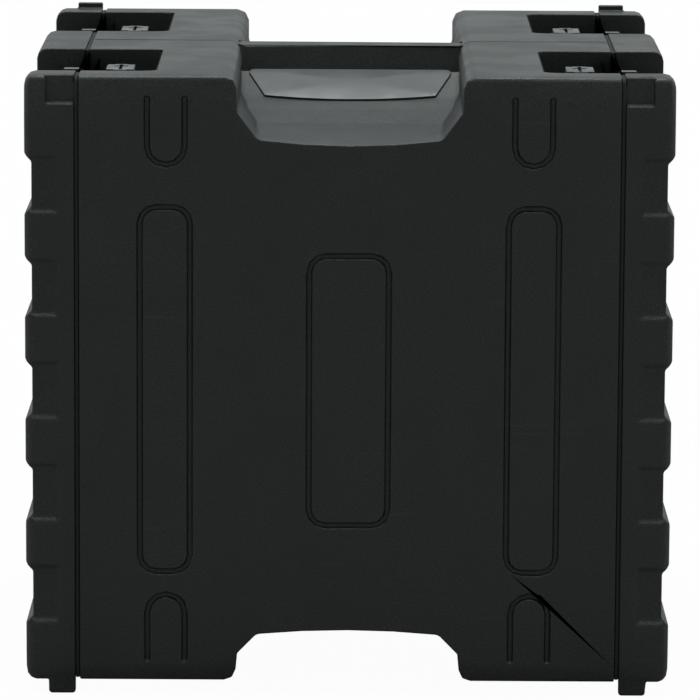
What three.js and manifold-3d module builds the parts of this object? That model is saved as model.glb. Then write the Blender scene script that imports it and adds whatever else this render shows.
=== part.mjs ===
// Equipment rack case: a moulded sleeve open at both ends, two lift-off lids held by eight
// recessed wing latches, four rack rails inside, and a moulded carrying handle on each side.
// Millimetres, +Z up. X runs through the case from the rear lid to the front lid, Y across it.
// The origin is the middle of the footprint, level with the undersides of the feet.
import * as THREE from "three";
import { mergeVertices } from "three/addons/utils/BufferGeometryUtils.js";
import Module from "manifold-3d";

const wasm = await Module();
wasm.setup();

// ---- Driving dimensions ------------------------------------------------------------------
const LENGTH = 622; // over both lids, along X
const WIDTH = 612; // across, along Y
const HEIGHT = 590; // of the moulded body, without feet or pegs
const WALL = 6; // moulded wall
const GAP = 0.3; // between pieces that touch on the real case
const LID_DEPTH = 48;
const SEAM = 4; // between sleeve and lid, filled by the gasket
const EDGE_RADIUS = 6; // along the sleeve's four long edges
const LID_EDGE_RADIUS = 10; // round the lid's outer face
const TOP_LEAN = { inset: 3, height: 33 }; // the side leans in above this line
const BOTTOM_LEAN = { inset: 2.5, height: 16 };

const EDGE_RIDGE = 41; // top ridge between a latch channel and the side
const CHANNEL_WIDTH = 185;
const CHANNEL_DEPTH = 26;
const CHANNEL_REACH = 73; // into the sleeve, measured at its rim
const CHANNEL_SLOPE = 9; // how far the end wall leans
const CHANNEL_CORNER = 16;

const HANDLE_HALF = 108; // half the handle recess's width
const HANDLE_SHOULDER = 12; // where its sides open out at the top
const HANDLE_DROP = 34; // straight sides of its outline
const HANDLE_DIAGONAL = { half: 88, depth: 60.5 };
const HANDLE_SAG = 66; // depth of the outline at its middle
const HANDLE_CORNER = 9; // round the outline's lower corners
const SCOOP_FLOOR = { inward: 100, depth: 56.5 }; // where the floor before the handle ends
const SCOOP_WALL = { inward: 118, depth: 45.5 }; // where the wall above it ends
const TROUGH_DEPTH = 60; // floor of the recess behind the handle
const TROUGH_EASE = 8; // its rounding-up under the handle
const CREST_HALF = 15; // half the ridge left between the two recesses
const CREST_DROP = 3.5;
const CREST_SLOPE = { foot: 36, knee: 9, rise: 20 }; // from the crest's edge; above the floor
const TREAD_FRONT = { inward: 145, depth: 39.3 };
const TREAD_BACK = { inward: 192, depth: 15.3 };
const TREAD_THICKNESS = 1.6;
const TREAD_HALF = 99.5;
const TREAD_FRONT_HALF = 84;
const TREAD_BOW = 6.8; // of its front edge
const TREAD_FLARE = 46; // how far back its ends reach their full width
const TREAD_CORNER = 5;
const HANDLE_BACK = { behind: 4, below: 7 }; // of the bar, from the tread's back edge
const UNDERCUT = { behind: 22, below: 5, deepest: 16 }; // from the tread's front edge
const ARCH_DEPTH = 51; // recess under the case

const PAD_GROOVE = { width: 5, depth: 4 };
const TALL_PAD = { back: 56, width: 53, below: 124, above: 106 }; // from mouth, top and bottom
const CENTRE_PAD = { half: 40.5, below: 170.5, above: 152 };
const PAD_CORNER = 18; // round the outside of a pad's groove
const SLOT_PANEL = { back: 63, width: 41, length: 68, start: 20, corner: 20 };

const RIB_PITCH = 99.7; // of the five grooves across a lid
const RIB_WIDTH = 42;
const GROOVE_DEPTH = 7;
const GROOVE_COUNT = 5;
const GROOVE_OFFSET = -9.5; // of the middle groove from mid-height
const WINDOW = { reach: 34, depth: 3.5, slope: 5 }; // where a groove wraps onto the side
const LID_PAST = 20; // how far a cut runs on past the lid
const PAST = 5; // how far a cut starts outside what it cuts
const SPIGOT = { reach: 10, clearance: 1, thickness: 3 }; // lip of the lid inside the sleeve

const FOOT = 13; // feet under the near side of each lid
const PEG = 6; // pegs on top of the far side
const PEG_LENGTH = 26;
const PEG_THICKNESS = 6.5;
const NOTCH = { depth: 7, height: 27 };

const RACK_UNITS = 10;
const RACK_UNIT = 44.45;
const RACK_HOLES = [6.35, 22.225, 38.1]; // within a unit
const RACK_HOLE_CENTRES = 465.1; // across
const RACK_OPENING = 450;
const RACK_HOLE_RADIUS = 3.4;
const RAIL_SETBACK = 38; // rack face behind the sleeve's mouth
const RAIL_SHEET = 2;
const RAIL_LEG = 45;
const RAIL_LIP = 12;

// A latch is drawn in its own frame: x out towards the lid, z up from the channel's floor.
const ROTOR_BACK = 35; // rotor's axis behind the sleeve's mouth
const ROTOR_SHAFT = 5;
const WING = { inner: 1, outer: 13.7, half: 20, thickness: 3.4 };
const WING_SLOT = { low: 5, high: 11, reach: 6.8 };
const WING_PIN = 0.8;
const PIN_CLEARANCE = 0.3;
const PLATE = { behind: 19, margin: 5, half: 24, sheet: 2 }; // behind the rotor, inside the mouth
const HOUSING = { half: 14.5, height: 12.5, sheet: 2, width: 20 };
const NOSE = { half: 12, height: 11 };
const HOOK_PIVOT = { ahead: 10, z: 6.6 }; // ahead of the rotor's axis
const HOOK_PIN = 1.8;
const HOOK_HALF = 6;
const HOOK_STRAP = { low: 6.2, high: 9 };
const KEEPER_SIZE = { inset: 6, thickness: 7.2, height: 8, half: 9 };
const HOOK_LIFT = 1; // lip above the keeper while the latch is undone
const HOOK_ARCH = { low: 14.6, high: 17.2 };
const HOOK_BEND = 1.2; // radius
const EYE_WALL = 1.6; // round the hook's pin
const LIP_CLEARANCE = 0.6; // between the lip and the keeper's outer face
const PLATE_CORNER = 4;
const SHAFT_CLEARANCE = 0.6;
const CARRIER_THICKNESS = 2.2;
const CARRIER_CORNER = 3;
const CAM = { offset: 3, radius: 3, height: 2 };
const SHAFT_LIFT = 1; // of the shaft's foot above the plate
const BLOCK = { half: 6.5, gap: 0.4, depth: 3 }; // holds the ends of the wings' pins
const KEEPER_FOOT = { inner: 4, outer: 12, slope: 2 }; // flanges and the slope of its back
const SEAL = { skin: 1.5, inner: 1 }; // behind the outer skin, past the inner face

// ---- Sizes that follow -------------------------------------------------------------------
const HALF_W = WIDTH / 2;
const HALF_H = HEIGHT / 2;
const LID_END = LENGTH / 2;
const LID_START = LID_END - LID_DEPTH;
const MOUTH = LID_START - SEAM;
const CHANNEL_Y = HALF_W - EDGE_RIDGE - CHANNEL_WIDTH / 2;
const CHANNEL_FLOOR = HALF_H - CHANNEL_DEPTH;
const ROTOR_X = MOUTH - ROTOR_BACK;
const PLATE_BACK = ROTOR_X - PLATE.behind;
const PLATE_FRONT = MOUTH - PLATE.margin;
const HOOK_X = ROTOR_X + HOOK_PIVOT.ahead;
const KEEPER_INNER = LID_START + KEEPER_SIZE.inset;
const KEEPER_OUTER = KEEPER_INNER + KEEPER_SIZE.thickness;
const TREAD_RISE = TREAD_FRONT.depth - TREAD_BACK.depth;
const TREAD_RUN = TREAD_BACK.inward - TREAD_FRONT.inward;
const TREAD_ANGLE = Math.atan2(TREAD_RISE, TREAD_RUN);
const TREAD_LENGTH = Math.hypot(TREAD_RISE, TREAD_RUN);

// ---- Solids ------------------------------------------------------------------------------
/** A closed three.js geometry as a solid that can be cut and joined. */
function solidOf(geometry) {
  const bare = geometry.clone();
  bare.deleteAttribute("normal");
  bare.deleteAttribute("uv");
  const merged = mergeVertices(bare, 1e-4);
  return new wasm.Manifold(
    new wasm.Mesh({
      numProp: 3,
      vertProperties: merged.attributes.position.array,
      triVerts: new Uint32Array(merged.index.array),
    }),
  );
}

/** A block between two values on each axis. */
function block([x0, x1], [y0, y1], [z0, z1]) {
  const geometry = new THREE.BoxGeometry(x1 - x0, y1 - y0, z1 - z0);
  geometry.translate((x0 + x1) / 2, (y0 + y1) / 2, (z0 + z1) / 2);
  return solidOf(geometry);
}

/**
 * An outline's corners, rounded. Each point is [a, b] or [a, b, radius]; a rounded corner is
 * an arc that touches both of its sides.
 */
function rounded(points, steps = 3) {
  const out = [];
  points.forEach(([a, b, radius], i) => {
    const corner = new THREE.Vector2(a, b);
    if (!radius) {
      out.push(corner);
      return;
    }
    const count = points.length;
    const before = new THREE.Vector2(...points[(i + count - 1) % count].slice(0, 2));
    const after = new THREE.Vector2(...points[(i + 1) % count].slice(0, 2));
    const back = before.sub(corner).normalize();
    const ahead = after.sub(corner).normalize();
    const half = Math.acos(THREE.MathUtils.clamp(back.dot(ahead), -1, 1)) / 2;
    const centre = back
      .clone()
      .add(ahead)
      .normalize()
      .multiplyScalar(radius / Math.sin(half))
      .add(corner);
    const start = back.clone().multiplyScalar(radius / Math.tan(half)).add(corner).sub(centre);
    const turn = Math.PI - 2 * half;
    const sense = Math.sign(ahead.cross(back));
    for (let k = 0; k <= steps; k++) {
      const arm = start.clone().rotateAround(new THREE.Vector2(), (sense * turn * k) / steps);
      out.push(arm.add(centre));
    }
  });
  return out;
}

const rectangle = (a0, a1, b0, b1, radius = 0) => [
  [a0, b0, radius],
  [a1, b0, radius],
  [a1, b1, radius],
  [a0, b1, radius],
];

/** A regular outline of that many sides round a centre. */
const circle = (a, b, radius, sides) =>
  Array.from({ length: sides }, (_, k) => {
    const angle = (2 * Math.PI * (k + 0.5)) / sides;
    return [a + radius * Math.cos(angle), b + radius * Math.sin(angle)];
  });

/** An outline pushed along an axis: (y, z) along x, (x, z) along y or (x, y) along z. */
function prism(axis, points, from, to) {
  const shape = new THREE.Shape(rounded(points));
  const geometry = new THREE.ExtrudeGeometry(shape, { depth: to - from, bevelEnabled: false });
  const [x, y, z] = [
    new THREE.Vector3(1, 0, 0),
    new THREE.Vector3(0, 1, 0),
    new THREE.Vector3(0, 0, 1),
  ];
  const frames = { x: [y, z, x, from], y: [x, z, y.clone().negate(), -to], z: [x, y, z, from] };
  const [across, up, along, start] = frames[axis];
  geometry.translate(0, 0, start);
  geometry.applyMatrix4(new THREE.Matrix4().makeBasis(across, up, along));
  return solidOf(geometry);
}

/** A skin through equal-length outlines in (y, z), each at its own x, closed at both ends. */
function loft(rings) {
  const count = rings[0].points.length;
  const positions = rings.flatMap(({ x, points }) => points.flatMap((p) => [x, p.x, p.y]));
  const index = [];
  for (let k = 0; k + 1 < rings.length; k++) {
    for (let i = 0; i < count; i++) {
      const [a, b] = [k * count + i, k * count + ((i + 1) % count)];
      index.push(a, b, b + count, a, b + count, a + count);
    }
  }
  const cap = THREE.ShapeUtils.triangulateShape(rings[0].points, []);
  const last = (rings.length - 1) * count;
  cap.forEach(([a, b, c]) => index.push(a, c, b, last + a, last + b, last + c));
  const geometry = new THREE.BufferGeometry();
  geometry.setAttribute("position", new THREE.Float32BufferAttribute(positions, 3));
  geometry.setIndex(index);
  return solidOf(geometry);
}

/** One solid from several. */
const join = (...solids) => solids.reduce((all, next) => all.add(next));

/** A named mesh of a solid. */
function meshOf(name, solid, material) {
  const { numProp, numVert, vertProperties, triVerts } = solid.getMesh();
  const positions = new Float32Array(numVert * 3);
  for (let i = 0; i < numVert; i++) {
    positions.set(vertProperties.subarray(i * numProp, i * numProp + 3), i * 3);
  }
  const geometry = new THREE.BufferGeometry();
  geometry.setAttribute("position", new THREE.BufferAttribute(positions, 3));
  geometry.setIndex(new THREE.BufferAttribute(triVerts, 1));
  const flat = geometry.toNonIndexed();
  flat.computeVertexNormals();
  const mesh = new THREE.Mesh(flat, material);
  mesh.name = name;
  return mesh;
}

// ---- The moulded outline -----------------------------------------------------------------
/** The case's outline seen from its end, moved in by an amount. */
function section(inset) {
  const [w, h] = [HALF_W - inset, HALF_H - inset];
  const right = [
    [w - BOTTOM_LEAN.inset, -h, EDGE_RADIUS],
    [w, -h + BOTTOM_LEAN.height],
    [w, h - TOP_LEAN.height],
    [w - TOP_LEAN.inset, h, EDGE_RADIUS],
  ];
  const left = right.map(([y, z, radius]) => [-y, z, radius]).reverse();
  return [...right, ...left];
}

/** Calls a maker for the top and bottom faces and both sides, and joins what it gives. */
const onFourCorners = (make) =>
  join(...[1, -1].flatMap((face) => [1, -1].map((side) => make(face, side))));

/**
 * A latch channel of the front end, grown by an amount: it runs from its sloping end wall out
 * past the lid. Grown by the wall, it is the space that the wall round it fills.
 */
function channel(face, side, grow) {
  const low = MOUTH - CHANNEL_REACH - grow;
  const out = LID_END + LID_PAST;
  const depth = CHANNEL_DEPTH + grow;
  const above = HALF_H + PAST;
  const half = CHANNEL_WIDTH / 2 + grow;
  const profile = [
    [low - 2, above],
    [low, HALF_H],
    [low + CHANNEL_SLOPE, HALF_H - depth],
    [out, HALF_H - depth],
    [out, above],
  ].map(([x, z]) => [x, face * z]);
  const centre = side * CHANNEL_Y;
  const plan = [
    [low - 2, centre - half, CHANNEL_CORNER],
    [out, centre - half],
    [out, centre + half],
    [low - 2, centre + half, CHANNEL_CORNER],
  ];
  return prism("y", profile, centre - half, centre + half).intersect(
    prism("z", plan, -HALF_H - 2 * PAST, HALF_H + 2 * PAST),
  );
}

const channels = (grow) => onFourCorners((face, side) => channel(face, side, grow));

/** A slice of the case's outer skin. */
const sleeve = (from, to, inset) =>
  prism("x", section(inset), from, to).subtract(channels(inset));

/** A slice of the space inside its wall. */
const bore = (from, to, inset) =>
  block(
    [from, to],
    [-HALF_W + WALL + inset, HALF_W - WALL - inset],
    [-HALF_H + WALL + inset, HALF_H - WALL - inset],
  ).subtract(channels(WALL + inset));

// ---- Handle recesses ---------------------------------------------------------------------
/** The handle recess's outline on the side of the case, grown by an amount. */
function handleOutline(face, grow, depth) {
  const scale = depth / HANDLE_SAG;
  const [half, shoulder, corner] = [HANDLE_HALF + grow, HANDLE_SHOULDER, HANDLE_DIAGONAL];
  const top = HALF_H;
  const right = [
    [half + shoulder, top + 2 * PAST],
    [half + shoulder, top],
    [half + shoulder * 0.3, top - shoulder * 0.3],
    [half, top - shoulder],
    [half, top - HANDLE_DROP * scale - grow, HANDLE_CORNER],
    [corner.half + grow * 0.6, top - corner.depth * scale - grow, HANDLE_CORNER],
    [corner.half / 2, top - (corner.depth + 3 * HANDLE_SAG) / 4 * scale - grow],
  ];
  const left = right.map(([x, z, radius]) => [-x, z, radius]).reverse();
  const outline = [...right, [0, top - depth - grow], ...left];
  return outline.map(([x, z, radius]) => [x, face * z, radius]);
}

/** The recess of one side and face: an outline on the side, cut to a profile across. */
function recess(face, side, profile, grow, depth) {
  const points = profile.map(([inward, down]) => [
    side * (HALF_W - inward),
    face * (HALF_H - down),
  ]);
  const outline = prism("y", handleOutline(face, grow, depth), -HALF_W - PAST, HALF_W + PAST);
  return prism("x", points, -HALF_W, HALF_W).intersect(outline);
}

/** How a recess rises from its floor to the crest in the middle of the case. */
const crestRise = (floor) => [
  [HALF_W - CREST_HALF - CREST_SLOPE.foot, floor],
  [HALF_W - CREST_HALF - CREST_SLOPE.knee, floor - CREST_SLOPE.rise],
  [HALF_W - CREST_HALF, CREST_DROP],
  [HALF_W, CREST_DROP],
];

/** Closes a recess's profile outside the case. */
const openAir = [
  [HALF_W, -PAST],
  [-PAST, -PAST],
];

/** Profile of a carrying recess: the slope up to the handle, its tread, the reach behind. */
function handleProfile() {
  const seat = TREAD_THICKNESS + GAP;
  const [front, back] = [TREAD_FRONT, TREAD_BACK].map(({ inward, depth }) => [
    inward + seat * Math.sin(TREAD_ANGLE),
    depth + seat * Math.cos(TREAD_ANGLE),
  ]);
  return [
    [-PAST, HANDLE_SAG],
    [0, HANDLE_SAG],
    [SCOOP_FLOOR.inward, SCOOP_FLOOR.depth],
    [SCOOP_WALL.inward, SCOOP_WALL.depth],
    front,
    back,
    [TREAD_BACK.inward + HANDLE_BACK.behind, TREAD_BACK.depth + HANDLE_BACK.below],
    [TREAD_FRONT.inward + UNDERCUT.behind, TREAD_FRONT.depth + UNDERCUT.below],
    [TREAD_FRONT.inward + UNDERCUT.deepest, TROUGH_DEPTH - TROUGH_EASE],
    [TREAD_FRONT.inward + UNDERCUT.deepest + TROUGH_EASE, TROUGH_DEPTH],
    ...crestRise(TROUGH_DEPTH),
    ...openAir,
  ];
}

/** Profile of the wall's far side round a carrying recess. */
const handleWall = () => [
  [-PAST, HANDLE_SAG + WALL],
  [WALL, HANDLE_SAG + WALL],
  [SCOOP_FLOOR.inward, TROUGH_DEPTH + WALL],
  [HALF_W - CREST_HALF - CREST_SLOPE.foot + WALL / 2, TROUGH_DEPTH + WALL],
  [HALF_W - CREST_HALF - CREST_SLOPE.knee + WALL, TROUGH_DEPTH - CREST_SLOPE.rise + WALL],
  [HALF_W - CREST_HALF + WALL, CREST_DROP + WALL],
  [HALF_W, CREST_DROP + WALL],
  ...openAir,
];

/** Profile of half the open channel under the case, which runs from side to side. */
const archProfile = (depth) => [
  [-PAST, depth],
  [HALF_W + 1, depth],
  [HALF_W + 1, -PAST],
  [-PAST, -PAST],
];

// ---- Case shell --------------------------------------------------------------------------
/** A pad's outline on the side of the case, grown by an amount. */
const tallPad = (end, grow) => {
  const far = MOUTH - TALL_PAD.back;
  const [a, b] = [end * (far - TALL_PAD.width - grow), end * (far + grow)];
  const [low, high] = [TALL_PAD.above - HALF_H - grow, HALF_H - TALL_PAD.below + grow];
  return rectangle(Math.min(a, b), Math.max(a, b), low, high, PAD_CORNER + grow);
};

const centrePad = (grow) =>
  rectangle(
    -CENTRE_PAD.half - grow,
    CENTRE_PAD.half + grow,
    CENTRE_PAD.above - HALF_H - grow,
    HALF_H - CENTRE_PAD.below + grow,
    PAD_CORNER + grow,
  );

/** A short panel's outline, round at the end nearest mid-height, grown by an amount. */
function slotPanel(end, up, grow) {
  const far = MOUTH - SLOT_PANEL.back;
  const [a, b] = [end * (far - SLOT_PANEL.width - grow), end * (far + grow)].sort((p, q) => p - q);
  const outer = up * (HALF_H - SLOT_PANEL.start - Math.min(grow, 0));
  const inner = up * (HALF_H - SLOT_PANEL.start - SLOT_PANEL.length - grow);
  const radius = SLOT_PANEL.corner + grow;
  return [
    [a, outer],
    [b, outer],
    [b, inner, radius],
    [a, inner, radius],
  ];
}

/** Outlines, each a function of how far it is grown, of what stands within a groove. */
const PANELS = [
  centrePad,
  ...[1, -1].flatMap((end) => [
    (grow) => tallPad(end, grow),
    (grow) => slotPanel(end, 1, grow),
    (grow) => slotPanel(end, -1, grow),
  ]),
];

/** The groove round each pad, and round three sides of the short panels. */
function sideReliefs(side) {
  const [from, to] = [side * (HALF_W + 1), side * (HALF_W - PAD_GROOVE.depth)].sort(
    (a, b) => a - b,
  );
  const cuts = PANELS.map((panel) =>
    prism("y", panel(0), from, to).subtract(
      prism("y", panel(-PAD_GROOVE.width), from - 1, to + 1),
    ),
  );
  return join(...cuts);
}

/** Where the wall comes inwards behind the side's pads and panels. */
function sideBacking(side) {
  const [from, to] = [HALF_W - WALL - PAD_GROOVE.depth, HALF_W]
    .map((y) => side * y)
    .sort((a, b) => a - b);
  return join(...PANELS.map((panel) => prism("y", panel(WALL), from, to)));
}

function caseShell() {
  const skin = join(
    ...[1, -1].flatMap((side) => [
      recess(1, side, handleProfile(), 0, HANDLE_SAG),
      recess(-1, side, archProfile(ARCH_DEPTH), 0, ARCH_DEPTH),
      sideReliefs(side),
    ]),
  );
  const backing = join(
    ...[1, -1].flatMap((side) => [
      recess(1, side, handleWall(), WALL, HANDLE_SAG),
      recess(-1, side, archProfile(ARCH_DEPTH + WALL), WALL, ARCH_DEPTH),
      sideBacking(side),
    ]),
  );
  const rearward = (solid) => solid.mirror([1, 0, 0]);
  const outside = prism("x", section(0), -MOUTH, MOUTH)
    .subtract(channels(0))
    .subtract(rearward(channels(0)))
    .subtract(skin);
  const inside = block(
    [-MOUTH - 1, MOUTH + 1],
    [-HALF_W + WALL, HALF_W - WALL],
    [-HALF_H + WALL, HALF_H - WALL],
  )
    .subtract(channels(WALL))
    .subtract(rearward(channels(WALL)))
    .subtract(backing);
  return outside.subtract(inside);
}

// ---- Lid ---------------------------------------------------------------------------------
/** Heights of the grooves' middles. */
const grooves = Array.from(
  { length: GROOVE_COUNT },
  (_, k) => GROOVE_OFFSET + (k - (GROOVE_COUNT - 1) / 2) * RIB_PITCH,
);
const GROOVE_HALF = (RIB_PITCH - RIB_WIDTH) / 2;

/** A groove across the lid's face, with the shallow window where it wraps onto each side. */
function grooveCut(z) {
  const past = 2;
  const across = prism(
    "y",
    [
      [LID_END + past, z - GROOVE_HALF - past],
      [LID_END + past, z + GROOVE_HALF + past],
      [LID_END - GROOVE_DEPTH, z + GROOVE_HALF - GROOVE_DEPTH],
      [LID_END - GROOVE_DEPTH, z - GROOVE_HALF + GROOVE_DEPTH],
    ],
    -HALF_W - PAST,
    HALF_W + PAST,
  );
  const windows = [1, -1].map((side) => {
    const [skin, floor] = [side * (HALF_W + 1), side * (HALF_W - WINDOW.depth)];
    const ease = (WINDOW.slope * (WINDOW.depth + 1)) / WINDOW.depth;
    const start = LID_END - WINDOW.reach;
    const plan = [
      [start - ease + WINDOW.slope, skin],
      [start + WINDOW.slope, floor],
      [LID_END + past, floor],
      [LID_END + past, skin],
    ];
    const rise = [
      [skin, z - GROOVE_HALF - ease + WINDOW.slope],
      [floor, z - GROOVE_HALF + WINDOW.slope],
      [floor, z + GROOVE_HALF - WINDOW.slope],
      [skin, z + GROOVE_HALF + ease - WINDOW.slope],
    ];
    return prism("z", plan, -HALF_H, HALF_H).intersect(prism("x", rise, start - 20, LID_END + past));
  });
  return join(across, ...windows);
}

/** The hollow inside the lid, with a channel behind each rib. */
function lidHollow() {
  const back = LID_END - GROOVE_DEPTH - WALL;
  const step = LID_END - WINDOW.reach - WALL;
  const [wide, narrow] = [HALF_W - WALL, HALF_W - WALL - WINDOW.depth];
  const tall = HALF_H - WALL;
  const edges = grooves.flatMap((z) => [z - GROOVE_HALF, z + GROOVE_HALF]);
  const bounds = [-HALF_H - WALL, ...edges, HALF_H + WALL];
  const ribs = [];
  for (let k = 0; k < bounds.length; k += 2) {
    const [low, high] = [bounds[k] + WALL / 2, bounds[k + 1] - WALL / 2];
    const outline = [
      [back - 1, Math.max(low - GROOVE_DEPTH, -tall)],
      [back - 1, Math.min(high + GROOVE_DEPTH, tall)],
      [LID_END - WALL, Math.min(high, tall)],
      [LID_END - WALL, Math.max(low, -tall)],
    ];
    ribs.push(prism("y", outline, -narrow + LID_EDGE_RADIUS / 2, narrow - LID_EDGE_RADIUS / 2));
  }
  return join(
    block([LID_START - 1, step], [-wide, wide], [-tall, tall]),
    block([step - 1, back], [-narrow, narrow], [-tall, tall]),
    ...ribs,
  ).subtract(channels(WALL));
}

/** A stacking foot or peg standing out of the lid's top or bottom edge, beside the seam. */
function stackingPeg(face, side, height) {
  const inset = face > 0 ? TOP_LEAN.inset : BOTTOM_LEAN.inset;
  const outline = [
    [LID_START, HALF_H - WALL],
    [LID_START + PEG_LENGTH, HALF_H - WALL],
    [LID_START + PEG_LENGTH, HALF_H + height, height / 4],
    [LID_START, HALF_H + height, height / 4],
  ].map(([x, z, radius]) => [x, face * z, radius]);
  const [from, to] = [HALF_W - inset, HALF_W - inset - PEG_THICKNESS]
    .map((y) => side * y)
    .sort((a, b) => a - b);
  return prism("y", outline, from, to);
}

/** The notch that takes the peg of a case stacked on this one, grown by an amount. */
function stackingNotch(face, side, grow) {
  const [from, to] = [HALF_W + 1, HALF_W - NOTCH.depth - grow]
    .map((y) => side * y)
    .sort((a, b) => a - b);
  const [low, high] = [HALF_H - NOTCH.height - grow, HALF_H + 1]
    .map((z) => face * z)
    .sort((a, b) => a - b);
  return block([LID_START - 1, LID_START + PEG_LENGTH + 1 + grow], [from, to], [low, high]);
}

/** A lid in the front lid's place; near is the side, 1 or -1, that carries the feet. */
function lid(near) {
  const quarter = [0, 1, 2, 3].map((k) => (k * Math.PI) / 6);
  const radius = LID_EDGE_RADIUS;
  const outer = loft([
    { x: LID_START, points: rounded(section(0)) },
    ...quarter.map((angle) => ({
      x: LID_END - radius + radius * Math.sin(angle),
      points: rounded(section(radius * (1 - Math.cos(angle)))),
    })),
  ]);
  const grooveCuts = join(...grooves.map(grooveCut));
  const hollow = lidHollow()
    .subtract(stackingNotch(1, near, WALL))
    .subtract(stackingNotch(-1, -near, WALL));
  const { reach, clearance, thickness } = SPIGOT;
  const within = MOUTH - reach;
  const root = LID_START + WALL;
  const spigot = join(
    bore(within, root, clearance),
    bore(LID_START + 0.01, root, -1),
  ).subtract(bore(within - 1, root + 1, clearance + thickness));
  return outer
    .subtract(channels(0))
    .subtract(grooveCuts)
    .subtract(hollow)
    .add(stackingPeg(-1, near, FOOT))
    .add(stackingPeg(1, -near, PEG))
    .add(spigot)
    .subtract(stackingNotch(1, near, 0))
    .subtract(stackingNotch(-1, -near, 0));
}

/** The soft ring in the seam, following the wall round the channels. */
const gasket = () => {
  const [from, to] = [MOUTH + GAP, LID_START - GAP];
  return sleeve(from, to, SEAL.skin).subtract(bore(from - 1, to + 1, -SEAL.inner));
};

// ---- Rack rail ---------------------------------------------------------------------------
/** The front rail of the +Y side: a leg on the wall, a rack face and a stiffening lip. */
function rackRail() {
  const face = MOUTH - RAIL_SETBACK;
  const wall = HALF_W - WALL - PAD_GROOVE.depth - GAP;
  const edge = RACK_OPENING / 2;
  const half = (RACK_UNITS * RACK_UNIT) / 2;
  const plan = [
    [face, wall],
    [face - RAIL_LEG, wall],
    [face - RAIL_LEG, wall - RAIL_SHEET],
    [face - RAIL_SHEET, wall - RAIL_SHEET],
    [face - RAIL_SHEET, edge + RAIL_SHEET],
    [face - RAIL_LIP, edge + RAIL_SHEET],
    [face - RAIL_LIP, edge],
    [face, edge],
  ];
  const holes = [];
  for (let unit = 0; unit < RACK_UNITS; unit++) {
    for (const at of RACK_HOLES) {
      const z = -half + unit * RACK_UNIT + at;
      const outline = circle(RACK_HOLE_CENTRES / 2, z, RACK_HOLE_RADIUS, 6);
      holes.push(prism("x", outline, face - RAIL_SHEET - 1, face + 1));
    }
  }
  return prism("z", plan, -half, half).subtract(join(...holes));
}

// ---- Handle tread ------------------------------------------------------------------------
/** The smooth grip on the handle bar of the near side, lying along its slope. */
function handleTread() {
  const right = [
    [TREAD_FRONT_HALF / 2, TREAD_BOW / 4],
    [TREAD_FRONT_HALF, TREAD_BOW],
    [TREAD_HALF, TREAD_FLARE],
    [TREAD_HALF, TREAD_LENGTH, TREAD_CORNER],
  ];
  const left = right.map(([x, along, radius]) => [-x, along, radius]).reverse();
  const outline = [[0, 0], ...right, ...left];
  const plate = prism("z", outline, -TREAD_THICKNESS, 0);
  const tilt = (TREAD_ANGLE * 180) / Math.PI;
  return plate
    .rotate([tilt, 0, 0])
    .translate([0, -HALF_W + TREAD_FRONT.inward, HALF_H - TREAD_FRONT.depth]);
}

// ---- Latch -------------------------------------------------------------------------------
/** The pressed plate: base, hollow housing for the rotor, and the nose the hook comes out of. */
function latchPlate() {
  const base = prism(
    "z",
    rectangle(PLATE_BACK, PLATE_FRONT, -PLATE.half, PLATE.half, PLATE_CORNER),
    GAP,
    GAP + PLATE.sheet,
  );
  const top = GAP + PLATE.sheet;
  const [back, front] = [ROTOR_X - HOUSING.half, ROTOR_X + HOUSING.half];
  const housing = block([back, front], [-HOUSING.width, HOUSING.width], [GAP, HOUSING.height]);
  const noseOutline = [
    [front - 1, GAP],
    [PLATE_FRONT, GAP],
    [PLATE_FRONT, NOSE.height],
    [front - 1, HOUSING.height],
  ];
  const nose = prism("y", noseOutline, -NOSE.half, NOSE.half);
  const { sheet } = HOUSING;
  const inside = block(
    [back + sheet, front - sheet],
    [-HOUSING.width + sheet, HOUSING.width - sheet],
    [top, HOUSING.height - sheet],
  );
  const throat = prism(
    "y",
    [
      [front - sheet - 1, top],
      [PLATE_FRONT + 1, top],
      [PLATE_FRONT + 1, HOOK_STRAP.high + GAP],
      [front - sheet - 1, HOUSING.height - sheet],
    ],
    -NOSE.half + sheet,
    NOSE.half - sheet,
  );
  const hole = circle(ROTOR_X, 0, ROTOR_SHAFT + SHAFT_CLEARANCE, 12);
  const shaftHole = prism("z", hole, top, HOUSING.height + 1);
  const pin = prism(
    "y",
    circle(HOOK_X, HOOK_PIVOT.z, HOOK_PIN, 8),
    -HOUSING.width + 1,
    HOUSING.width - 1,
  );
  return join(base, housing, nose).subtract(inside).subtract(throat).subtract(shaftHole).add(pin);
}

const CARRIER = { low: HOUSING.height + GAP, high: HOUSING.height + GAP + CARRIER_THICKNESS };
const WING_PIN_Z = CARRIER.high + GAP + WING.thickness / 2;
const WING_PIN_X = WING.inner + WING.thickness / 2;
const SHAFT_FOOT = GAP + PLATE.sheet + SHAFT_LIFT;

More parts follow.
